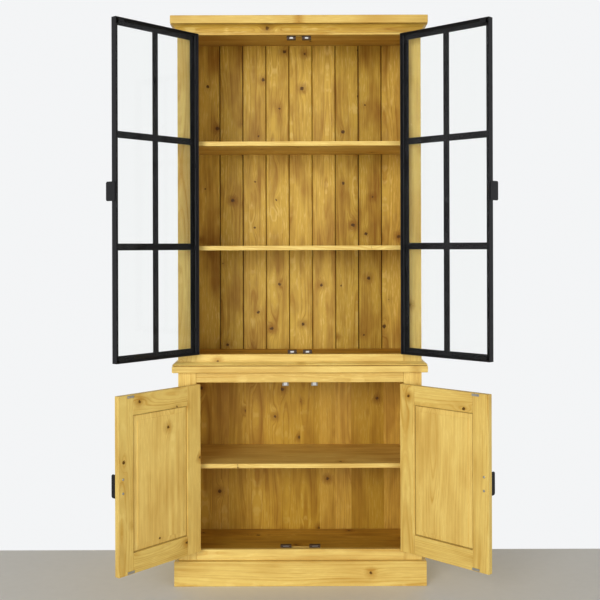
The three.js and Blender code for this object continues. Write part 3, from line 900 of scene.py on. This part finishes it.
@dataclass(frozen=True)
class Plinth(Surround):
    """The mitred skirting that the cabinet stands on."""

    proud: float = 15.5
    thickness: float = 28.0
    ease: float = 3.0

    def build(self) -> None:
        """Makes its three boards."""
        top = CABINET.span("plinth_front")[1][2]
        inner = self.proud - self.thickness
        section = Profile.rounded([
            (inner, 0.0, 0.6), (self.proud, 0.0, 1.0), (self.proud, top, self.ease), (inner, top, 0.6),
        ])
        for word, skin, along in self.strips(section):
            node = "plinth_front" if word == "front" else f"plinth_side_{word}"
            timber = Timber(along, 2, seed_of(node), contrast=0.2)
            Piece(f"pine_{node}", CABINET, Slot.PINE).add(skin, PINE, timber).build(node)


@dataclass(frozen=True)
class Mouldings(Surround):
    """The boards of waist and cornice, with a moulding on the one and under the other."""

    cove_depth: float = 24.0
    cove_height: float = 32.0
    fillet: float = 3.0
    bead_depth: float = 21.0
    bead_height: float = 15.0

    def cove(self, top: float) -> Profile:
        """Under the cornice: a hollow quarter curve between two small fillets."""
        low = top - self.cove_height
        turns = np.linspace(0, math.pi / 2, 13)
        reach, rise = self.cove_depth - self.fillet, self.cove_height - 2 * self.fillet
        curve = [(self.fillet + reach * (1 - math.cos(t)), low + self.fillet + rise * math.sin(t), 0.3)
                 for t in turns]
        return Profile.rounded([
            (0.3, top, 0.2), (0.3, low, 0.2), (self.fillet, low, 0.6), *curve,
            (self.cove_depth - 0.5, top - 2.2, 0.6), (self.cove_depth - 8, top, 0.4),
        ], steps=2)

    def bead(self, low: float) -> Profile:
        """On the waist board: a slope with a rounded nose."""
        depth, top = self.bead_depth, low + self.bead_height
        return Profile.rounded([
            (0.3, low, 0.2), (depth - 7, low, 0.4), (depth, low + 3, 0.8), (depth - 1.5, low + 6, 1.2),
            (3, top, 1.2), (0.3, top, 0.3),
        ])

    def build(self) -> None:
        """Makes the two boards and the two mouldings."""
        # The cornice board takes the darker copy of the pine: painted shade.
        for node, finish in (("waist_board", PINE), ("cornice_board", SHADED_PINE)):
            build_board(node, CABINET, 0, 1, 3.0, (88.0, 190.0, 292.0), finish=finish)
        # The cove takes the darker copy of the pine: painted shade under the cornice board.
        rows = (("cornice_moulding", self.cove(CABINET.span("cornice_moulding")[1][2]), COVE_SHADE_PINE),
                ("waist_moulding", self.bead(CABINET.span("waist_moulding")[0][2]), PINE))
        for node, section, finish in rows:
            piece = Piece(f"pine_{node}", CABINET, Slot.PINE)
            for word, skin, along in self.strips(section):
                piece.add(skin, finish, Timber(along, 2, seed_of(node + word), contrast=0.4))
            piece.build(node)


# ---------------------------------------------------------------------------------------------- fittings


@dataclass(frozen=True)
class Hinge:
    """A lift-off barrel hinge: a knuckle and pin on the frame, and a knuckle over the pin on the door."""

    pivot: tuple[float, float]
    radius: float = 5.5
    length: float = 24.0
    split: float = 0.4
    pin: float = 3.0

    def lower(self, z: float) -> list[Skin]:
        """The knuckle, pin and arm on the frame."""
        x, y = self.pivot
        r, n = self.radius, self.length
        barrel = turned([
            (1.0, z - n, 0), (r, z - n, 2.2), (r, z - self.split, 0.3), (self.pin, z - self.split, 0.1),
            (self.pin, z + n - 5, 0.8), (0.6, z + n - 5, 0),
        ], (x, y, 0))
        return [barrel, rounded_box((x + 3.5, y - 1, z - n + 3), (x + 9, -0.3, z - 3), 0.5)]

    def upper(self, z: float, reach: float) -> list[Skin]:
        """The knuckle and arm on the door, the arm ending at a depth of reach."""
        x, y = self.pivot
        r, n = self.radius, self.length
        bore = self.pin + 0.3
        barrel = turned([
            (bore, z + n - 3, 0), (bore, z + self.split, 0.1), (r, z + self.split, 0.3), (r, z + n, 2.2),
            (1.0, z + n, 0),
        ], (x, y, 0))
        return [barrel, rounded_box((x - 9, y - 1, z + 3), (x - 3.5, reach, z + n - 3), 0.5)]


@dataclass(frozen=True)
class CatchPair:
    """Two magnetic catches on one batten behind a rail."""

    node: str
    middle: float
    width: float
    down: bool
    finish: Finish = BROWN_PLASTIC
    plate: float = 14.0
    foot: float = 14.0
    shoulder: float = 2.0
    tab: float = 5.7  # mm that the fixing tab stands in front of the housing

    def build(self) -> None:
        """Makes the batten, the two housings, their steel tongues and their screws."""
        low, high = CABINET.span(self.node)
        way = -1 if self.down else 1
        tip = low[2] if self.down else high[2]
        root = high[2] if self.down else low[2]
        edge = root + way * self.foot
        piece = Piece(f"catch_{self.node}", CABINET, Slot.CATCH_PLASTIC)
        step = sorted((root, edge - way * self.shoulder))
        piece.add(rounded_box((low[0], high[1] - 5, step[0]), (high[0], high[1] - 0.2, step[1]), 1.0),
                  PINE, Timber(0, 2, seed_of(self.node)))
        for middle in (-self.middle, self.middle):
            near, far = middle - self.width / 2 + 0.3, middle + self.width / 2 - 0.3
            front = low[1] + self.tab
            body = sorted((root - way * 0.2, tip))
            piece.add(rounded_box((near, front, body[0]), (far, high[1] - 0.4, body[1]), 1.6), self.finish)
            tab = rounded_box((near + 1, low[1], step[0] + 0.3), (far - 1, front + 1, step[1] - 0.3), 0.8)
            piece.add(tab, self.finish)
            reach = sorted((edge + way * 3.0, tip - way * 3.0))
            tongue = (middle - self.plate / 2, reach[0]), (middle + self.plate / 2, reach[1])
            piece.add(plate(*tongue, (1.2,) * 4, (front - 0.8, front + 2), (X, Z, Y), 0.4), ZINC)
            for end in (-1, 1):
                spot = (middle + end * (self.width / 2 - 4.0), front + 0.2, (reach[0] + reach[1]) / 2)
                piece.add(turned(disc(1.8, 0.9, 0.6), spot, (X, Z, -Y), 16), self.finish)
        piece.build(self.node)


# ---------------------------------------------------------------------------------------------- doors


@dataclass(frozen=True)
class Door:
    """What both kinds of door share: a unit of the cabinet, a side of it and a hinge."""

    word: str
    side: int
    unit: ClassVar[str]

    @property
    def prefix(self) -> str:
        """How the names of its pieces begin."""
        return f"{self.unit}_door_{self.word}"

    @property
    def seat(self) -> Seat:
        """Where it hangs."""
        return Seat.of_door(f"{self.prefix}_hinge", self.side)

    @property
    def hinge(self) -> Hinge:
        """Its hinge, on the axis that it turns about."""
        return Hinge((abs(self.seat.pivot[0]), self.seat.pivot[1]))


@dataclass(frozen=True)
class GlazedDoor(Door):
    """A door of black steel angle: flat glazing bars, a pane bedded in sealant, clips and a plate pull."""

    unit: ClassVar[str] = "upper"
    leg: float = 25.0
    clearance: float = 0.5  # between the shut door and the shelves
    thickness: float = 3.0
    bar: float = 25.0
    hinge_heights: tuple[float, float] = (1060.0, 1986.0)
    clip_heights: tuple[float, ...] = (999.0, 1316.0, 1632.0, 1958.0)
    clip_length: float = 16.0
    clip_reach: float = 11.0  # mm over the pane
    clip_foot: tuple[float, float] = (4.9, 6.4)  # mm behind the pane, its two faces
    sealant: tuple[float, float] = (5.5, 4.6)  # mm, the width and depth of the bead

    def angle_section(self) -> Profile:
        """Steel angle: a flange on the door's face and a leg standing back from it, with a rolled root."""
        leg, t = self.leg, self.thickness
        back = leg - self.clearance
        return Profile.rounded([
            (0, 0, 0.8), (leg, 0, 0.4), (leg, t, 1.2), (t, t, 2.0), (t, back, 1.2), (0, back, 0.4),
        ])

    def build(self) -> None:
        """Makes the frame, the pane, the sealant and clips, and the pull."""
        seat, prefix = self.seat, self.prefix
        pane_low, pane_high = seat.span(f"{prefix}_glass")
        margin = self.thickness + 0.3
        low, high = pane_low - margin, pane_high + margin
        axes = (X, Z, Y)
        rim = Path.rectangle((low[0], low[2]), (high[0], high[2]))
        piece = Piece(f"steel_{prefix}_frame", seat, Slot.BLACK_STEEL)
        piece.add(carried(self.angle_section(), rim, axes), POWDER_COAT)
        inner, half, middle = self.leg - 1.5, self.bar / 2, (low[0] + high[0]) / 2
        upright = (middle - half, 0.05, low[2] + inner), (middle + half, 2.95, high[2] - inner)
        piece.add(rounded_box(*upright, 0.5), POWDER_COAT)
        for share in (1, 2):
            z = low[2] + self.leg - half + share * (high[2] - low[2] - 2 * self.leg + self.bar) / 3
            bar = rounded_box((low[0] + inner, 0.1, z - half), (high[0] - inner, 2.9, z + half), 0.5)
            piece.add(bar, POWDER_COAT)
        for z in self.hinge_heights:
            for skin in self.hinge.upper(z, 1.5):
                piece.add(skin, POWDER_COAT)
        piece.build(f"{prefix}_frame")

        pane = rounded_box(pane_low, pane_high, 0.6)
        Piece(f"glass_{prefix}", seat, Slot.GLASS).add(pane, GLASS).build(f"{prefix}_glass")
        self.build_bedding(rim, low, high, pane_high[1])
        self.build_pull()

    def build_bedding(self, rim: Path, low: np.ndarray, high: np.ndarray, back: float) -> None:
        """Makes the sealant round the pane, the clips that hold it, and the strikes for the catches.

        Args:
            rim: The line round the frame.
            low: The frame's lowest corner.
            high: The frame's highest corner.
            back: Where the pane's back is.
        """
        seat, prefix, t = self.seat, self.prefix, self.thickness
        width, depth = self.sealant
        bead = Profile.rounded([
            (t + 0.1, back + 0.1, 0.4), (t + width, back + 0.1, 0.8), (t + 0.1, back + depth, 0.8),
        ])
        Piece(f"sealant_{prefix}", seat).add(carried(bead, rim, (X, Z, Y)), SEALANT).build()
        clips = Piece(f"clips_{prefix}", seat, Slot.BLACK_STEEL)
        near, far = (back + face for face in self.clip_foot)
        tip, top = t + self.clip_reach, self.leg - 1.0
        section = [(t + 0.1, near, 0.5), (tip, near, 0.5), (tip, far, 0.5),
                   (t + 1.8, far, 0.6), (t + 1.8, top, 0.5), (t + 0.1, top, 0.5)]
        for z in self.clip_heights:
            for origin, flip in ((low[0], 1.0), (high[0], -1.0)):
                path = Path.square(z - self.clip_length / 2, z + self.clip_length / 2)
                clip = carried(Profile.rounded(section), path, (Z, X, Y))
                clips.add(clip.moved(np.diag([flip, 1, 1]), np.array([origin, 0, 0])), POWDER_COAT)
                spot = (origin + flip * (t + 1.7), back + 11.5, z)
                clips.add(turned(disc(2.4, 1.4, 0.9), spot, (Y, Z, flip * X), 16), POWDER_COAT)
        clips.build()
        strikes = Piece(f"strikes_{prefix}", seat, Slot.HINGE_STEEL)
        for edge, way in ((low[2], 1), (high[2], -1)):
            ends = sorted((edge + way * (t + 0.2), edge + way * (t + 13)))
            faces = (self.leg - 2.6, self.leg - 0.7)
            strikes.add(plate((18, ends[0]), (42, ends[1]), (1, 1, 1, 1), faces, (X, Z, Y)), BLACKENED)
        strikes.build()

    def build_pull(self) -> None:
        """A plate with rounded corners, welded on the free edge and standing out in front."""
        node = f"{self.prefix}_handle"
        low, high = self.seat.span(node)
        skin = plate(low[1:], high[1:], (7, 7, 7, 7), (low[0], high[0]), (Y, Z, X), 0.6)
        Piece(f"steel_{node}", self.seat, Slot.BLACK_STEEL).add(skin, POWDER_COAT).build(node)


@dataclass(frozen=True)
class PanelledDoor(Door):
    """A pine door: stiles, rails and a fielded panel, with an angle pull bolted through its free stile."""

    unit: ClassVar[str] = "lower"
    bevel: float = 22.0
    step: float = 1.8
    quirk: float = 4.0
    tongue_inset: float = 4.5
    bolt_spread: float = 50.0
    bolt_inset: float = 20.0
    strike_middle: float = 57.0
    strike_length: float = 32.0
    hinge_heights: tuple[float, float] = (250.0, 680.0)

    def field_section(self, front: float, back: float) -> Profile:
        """The panel's edge: a tongue, and on both faces a slope up to a small step round the field."""
        b, s, q = self.bevel, self.step, self.quirk
        near, far = front + self.tongue_inset, back - self.tongue_inset
        return Profile.rounded([
            (b + 1.0, back, 0), (b, back, 0.3), (b, back - s, 0.3), (q + 0.5, far + 1.1, 0.3),
            (q, far, 0.3), (0, far, 0.5), (0, near, 0.5), (q, near, 0.3),
            (q + 0.5, near - 1.1, 0.3), (b, front + s, 0.3), (b, front, 0.3), (b + 1.0, front, 0),
        ], closed=False)

    def build(self) -> None:
        """Makes the boards, the panel, the hinges, the pull, the bolts and the strikes."""
        seat, prefix = self.seat, self.prefix
        for place in ("hinge", "free"):
            build_board(f"{prefix}_stile_{place}", seat, 2, 0)
        for place in ("bottom", "top"):
            build_board(f"{prefix}_rail_{place}", seat, 0, 2)
        self.build_panel()
        for place, z in zip(("low", "high"), self.hinge_heights):
            piece = Piece(f"steel_{prefix}_hinge_{place}", seat, Slot.HINGE_STEEL)
            for skin in self.hinge.upper(z, -0.3):
                piece.add(skin, BLACKENED)
            piece.build(f"{prefix}_hinge_{place}")
        self.build_pull()
        self.build_strikes()

    def build_panel(self) -> None:
        """The fielded panel, its section carried round a rectangle."""
        node = f"{self.prefix}_panel"
        low, high = self.seat.span(node)
        path = Path.rectangle((low[0], low[2]), (high[0], high[2]))
        skin = carried(self.field_section(low[1], high[1]), path, (X, Z, Y))
        # Painted shade, with wax and dust, darkens the panel where it sinks below the stiles and rails.
        timber = Timber(2, 0, seed_of(node), contrast=0.5, shade_and_grime=2.3, unmarked_depth=3.6)
        Piece(f"pine_{node}", self.seat, Slot.PINE).add(skin, PINE, timber).build(node)

    def build_pull(self) -> None:
        """A steel angle: one leg flat on the door, one standing out along its edge, and two through bolts."""
        node = f"{self.prefix}_handle"
        low, high = self.seat.span(node)
        back = self.seat.span(f"{self.prefix}_stile_free")[1][1]
        piece = Piece(f"steel_{node}", self.seat, Slot.BLACK_STEEL)
        corners = (low[0] + 0.05, low[2] + 0.05), (high[0], high[2] - 0.05)
        piece.add(plate(*corners, (0.5, 4, 4, 0.5), (-3.3, -0.3), (X, Z, Y)), POWDER_COAT)
        piece.add(plate(low[1:], high[1:], (8, 0.6, 0.6, 8), (low[0], low[0] + 3), (Y, Z, X)), POWDER_COAT)
        middle = (low[2] + high[2]) / 2
        for way in (-1, 1):
            spot = (low[0] + self.bolt_inset, middle + way * self.bolt_spread / 2)
            piece.add(turned(disc(5.5, 2.8, 2.2), (spot[0], -3.2, spot[1]), (X, Z, -Y)), POWDER_COAT)
            piece.add(turned(disc(4.6, 1.6, 1.2), (spot[0], back + 0.05, spot[1]), (X, Z, Y)), ZINC)
        piece.build(node)

    def build_strikes(self) -> None:
        """The bright plates that meet the catches, each with two screws."""
        low, high = self.seat.span(f"{self.prefix}_stile_free")
        face = high[1]
        near, far = self.strike_middle - self.strike_length / 2, self.strike_middle + self.strike_length / 2
        piece = Piece(f"strikes_{self.prefix}", self.seat, Slot.HINGE_STEEL)
        for z in (low[2] + 7, high[2] - 7):
            corners = (near, z - 4.5), (far, z + 4.5)
            piece.add(plate(*corners, (2, 2, 2, 2), (face + 0.05, face + 1.3), (X, Z, Y), 0.3), ZINC)
            for x in (near + 7, far - 7):
                piece.add(turned(disc(2.4, 0.9, 0.6), (x, face + 1.25, z), (X, Z, Y), 16), ZINC)
        piece.build()


def build_frame_hinges() -> None:
    """Makes the eight hinge halves on the face frames."""
    for kind in (GlazedDoor, PanelledDoor):
        for side, word in ((-1, "left"), (1, "right")):
            door = kind(word, side)
            for place, z in zip(("low", "high"), door.hinge_heights):
                node = f"{door.unit}_hinge_{word}_{place}"
                piece = Piece(f"steel_{node}", Seat("cabinet", side), Slot.HINGE_STEEL)
                for skin in door.hinge.lower(z):
                    piece.add(skin, BLACKENED)
                piece.build(node)


# ---------------------------------------------------------------------------------------------- stage


@dataclass(frozen=True)
class Studio:
    """The floor, the soft light and the camera."""

    eye: tuple[float, float, float] = (0.0, -3.764, 1.322)
    lens: float = 57.9
    roll: float = 0.17
    shift: tuple[float, float] = (0.0008, -0.09)
    sky: str = "#f5f6f7"
    overhead: str = "#9a9a98"
    gamma: float = 0.88

    def build(self) -> None:
        """Sets the stage."""
        self.build_floor()
        self.build_world()
        self.build_light("key_light", (-2.6, -7.0, 2.3), (0.0, 0.0, 0.9), 3.6, 278.0)
        self.build_light("fill_light", (3.6, -6.4, 0.9), (0.0, 0.0, 0.6), 3.6, 92.0)
        self.build_camera()

    def build_floor(self) -> None:
        """A pale sheet that ends where the cabinet's back stands."""
        skin = rounded_box((-9000, -9000, -20), (9000, 440, -0.3), 0.1)
        mesh = bpy.data.meshes.new("floor")
        mesh.from_pydata((skin.points * MM).tolist(), [], skin.corners.reshape(-1, 4).tolist())
        mesh.materials.append(FLOOR.material())
        floor = bpy.data.objects.new("floor", mesh)
        bpy.context.scene.collection.objects.link(floor)

    def build_world(self) -> None:
        """A pale surround that is dimmer overhead, as a room's ceiling is."""
        world = bpy.data.worlds.new("surround")
        bpy.context.scene.world = world
        s = Sheet(world)
        height = s.add("SeparateXYZ", {0: s.add("TexCoord").outputs["Generated"]}).outputs[2]
        shade = s.add("ValToRGB", {0: height}, stops=((0.3, self.sky), (0.7, self.overhead)))
        s.add("OutputWorld", {"Surface": s.add("Background", {"Color": shade, "Strength": 1.0})})

    def build_light(self, name: str, place: tuple, target: tuple, size: float, power: float) -> None:
        """A large soft lamp turned to a point."""
        lamp = bpy.data.lights.new(name, "AREA")
        lamp.shape, lamp.size, lamp.energy = "DISK", size, power
        made = bpy.data.objects.new(name, lamp)
        made.location = place
        way = Vector(target) - Vector(place)
        made.rotation_euler = way.to_track_quat("-Z", "Y").to_euler()
        bpy.context.scene.collection.objects.link(made)

    def build_camera(self) -> None:
        """A level camera in front of the cabinet, at the height of the upper unit."""
        camera = bpy.data.cameras.new("camera")
        camera.lens, camera.sensor_width = self.lens, 36.0
        camera.shift_x, camera.shift_y = self.shift
        made = bpy.data.objects.new("camera", camera)
        made.location = self.eye
        made.rotation_euler = (math.pi / 2, math.radians(self.roll), 0)
        bpy.context.scene.collection.objects.link(made)
        bpy.context.scene.camera = made
        bpy.context.scene.view_settings.view_transform = "Standard"
        bpy.context.scene.view_settings.gamma = self.gamma


def dress_cad_nodes() -> None:
    """Gives every CAD node the finish of its kind of material."""
    words = (("glass", GLASS), ("hinge", BLACKENED), ("handle", POWDER_COAT), ("catch", BROWN_PLASTIC))
    for name, node in frame["nodes"].items():
        finish = next((f for word, f in words if word in name and "stile" not in name), PINE)
        if name.startswith("upper_door") and name.endswith("_frame"):
            finish = POWDER_COAT
        node.data.materials.clear()
        node.data.materials.append(finish.material())


def main() -> None:
    """Builds the whole scene."""
    dress_cad_nodes()
    Carcass().build()
    BackBoards().build()
    Plinth().build()
    Mouldings().build()
    build_frame_hinges()
    CatchPair("upper_catch_top", 30, 36, True).build()
    CatchPair("upper_catch_bottom", 30, 36, False).build()
    CatchPair("base_catch_top", 57, 26, True, GREY_PLASTIC).build()
    CatchPair("base_catch_bottom", 57, 44, False, plate=22.0).build()
    for side, word in ((-1, "left"), (1, "right")):
        GlazedDoor(word, side).build()
        PanelledDoor(word, side).build()
    Studio().build()


if __name__ == "__main__":
    main()
